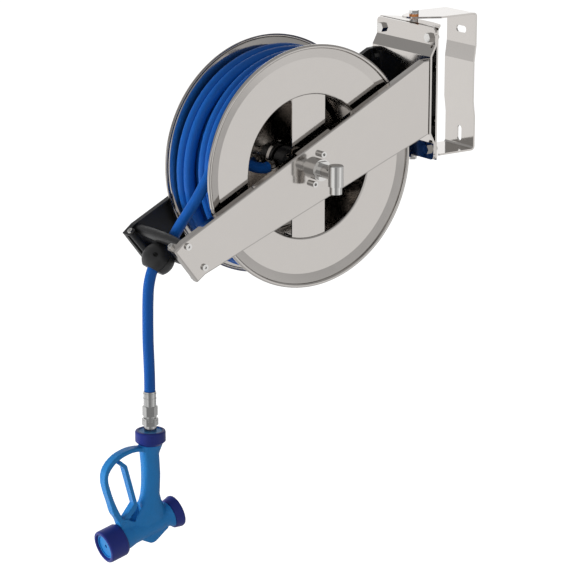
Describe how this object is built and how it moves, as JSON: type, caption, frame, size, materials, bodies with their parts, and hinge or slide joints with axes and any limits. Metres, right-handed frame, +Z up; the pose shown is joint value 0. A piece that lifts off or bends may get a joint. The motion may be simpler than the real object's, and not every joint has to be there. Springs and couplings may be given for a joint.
{
  "type": "swivelling spring rewind hose reel",
  "caption": "Wall mounted swivelling hose reel with a spring driven drum between two sheet arms, a roller fairlead, a wound hose, a stop ball and a wash down gun.",
  "frame": {"origin": "centre of the wall face of the wall bracket", "axes": "+Y into the wall along the fixing direction, +X to the side of the water inlet along the drum axis, +Z up"},
  "size_m": [0.2576, 0.8246, 0.9487],
  "materials": {
    "polished_steel": "polished stainless sheet",
    "black_paint": "black powder coat",
    "bright_steel": "bright machined stainless steel",
    "bronze": "plain bronze washer",
    "black_plastic": "moulded black nylon",
    "blue_hose": "smooth blue rubber hose",
    "spring_steel": "blued spring steel",
    "gun_blue": "light blue moulded rubber cover",
    "gun_navy": "dark blue rubber bumper"
  },
  "bodies": {
    "wall": {"wall_bracket": "polished_steel"},
    "frame": {"swivel_channel": "polished_steel", "carrier_plate": "polished_steel", "spacer_plate": "black_plastic", "carrier_bolts": "bright_steel", "carrier_nuts": "bright_steel", "pivot_bolts": "bright_steel", "bronze_washers": "bronze", "near_arm": "polished_steel", "far_arm": "black_paint", "arm_bolts": "bright_steel", "main_shaft": "bright_steel", "shaft_nut": "bright_steel", "inlet_housing": "bright_steel", "housing_screws": "bright_steel", "pawl_pin": "bright_steel", "roller_axles": "bright_steel", "side_axles": "bright_steel", "hose_lead": "blue_hose", "ball_upper": "black_plastic", "ball_lower": "black_plastic", "ball_screws": "bright_steel", "hose_ferrule": "bright_steel", "ferrule_nut": "bright_steel"},
    "drum": {"near_flange": "polished_steel", "far_flange": "polished_steel", "drum_barrel": "polished_steel", "near_spoke": "polished_steel", "far_spoke": "polished_steel", "near_bearing": "bright_steel", "far_bearing": "bright_steel", "water_collar": "black_plastic", "collar_screws": "bright_steel", "inner_fitting": "bright_steel", "hose_tail": "blue_hose", "spring_case": "polished_steel", "spring_cover": "polished_steel", "power_spring": "spring_steel", "ratchet_wheel": "bright_steel", "hose_core": "blue_hose", "hose_winding": "blue_hose"},
    "inlet": {"inlet_elbow": "bright_steel"},
    "pawl": {"pawl": "bright_steel"},
    "upper_roller": {"upper_roller": "black_plastic"},
    "lower_roller": {"lower_roller": "black_plastic"},
    "near_side_roller": {"near_side_roller": "black_plastic"},
    "far_side_roller": {"far_side_roller": "black_plastic"},
    "gun": {"gun_adaptor": "bright_steel", "gun_collar": "gun_navy", "collar_ring": "gun_blue", "gun_body": "gun_blue", "nozzle_ring": "gun_navy", "nozzle_insert": "gun_blue", "rear_cap": "gun_navy", "trigger_pin": "bright_steel", "valve_spring": "spring_steel"},
    "trigger": {"trigger": "gun_blue"},
    "valve": {"valve_rod": "bright_steel"}
  },
  "joints": [
    {"name": "wall_swivel", "type": "hinge", "parent": "wall", "child": "frame", "pos_m": [0, -0.118, 0], "axis": [0, 0, 1], "range_deg": [-85, 85]},
    {"name": "drum_spin", "type": "hinge", "parent": "frame", "child": "drum", "pos_m": [0, -0.405, -0.109], "axis": [1, 0, 0], "continuous": true, "deforming": ["hose_lead", "power_spring"]},
    {"name": "inlet_swivel", "type": "hinge", "parent": "frame", "child": "inlet", "pos_m": [0.1, -0.405, -0.109], "axis": [1, 0, 0], "continuous": true},
    {"name": "pawl_lift", "type": "hinge", "parent": "frame", "child": "pawl", "pos_m": [-0.064, -0.337, -0.0565], "axis": [1, 0, 0], "range_deg": [-15, 0]},
    {"name": "upper_roller_spin", "type": "hinge", "parent": "frame", "child": "upper_roller", "pos_m": [0, -0.6855, -0.213], "axis": [1, 0, 0], "continuous": true},
    {"name": "lower_roller_spin", "type": "hinge", "parent": "frame", "child": "lower_roller", "pos_m": [0, -0.65083, -0.25595], "axis": [1, 0, 0], "continuous": true},
    {"name": "near_side_roller_spin", "type": "hinge", "parent": "frame", "child": "near_side_roller", "pos_m": [0.0678, -0.70626, -0.21498], "axis": [0, -0.6281, 0.7781], "continuous": true},
    {"name": "far_side_roller_spin", "type": "hinge", "parent": "frame", "child": "far_side_roller", "pos_m": [-0.0678, -0.70626, -0.21498], "axis": [0, -0.6281, 0.7781], "continuous": true},
    {"name": "gun_swivel", "type": "hinge", "parent": "frame", "child": "gun", "pos_m": [0, -0.7135, -0.56], "axis": [0, 0, 1], "continuous": true},
    {"name": "trigger_pull", "type": "hinge", "parent": "gun", "child": "trigger", "pos_m": [0, -0.776, -0.736], "axis": [1, 0, 0], "range_deg": [-9, 0], "stiffness_Nm_per_rad": 1.5},
    {"name": "valve_slide", "type": "slide", "parent": "gun", "child": "valve", "axis": [0, 0.972, 0.2351], "range_m": [0, 0.004]}
  ],
  "couplings": [
    {"joint": "valve_slide", "follows": "trigger_pull", "m_per_rad": -0.025}
  ]
}
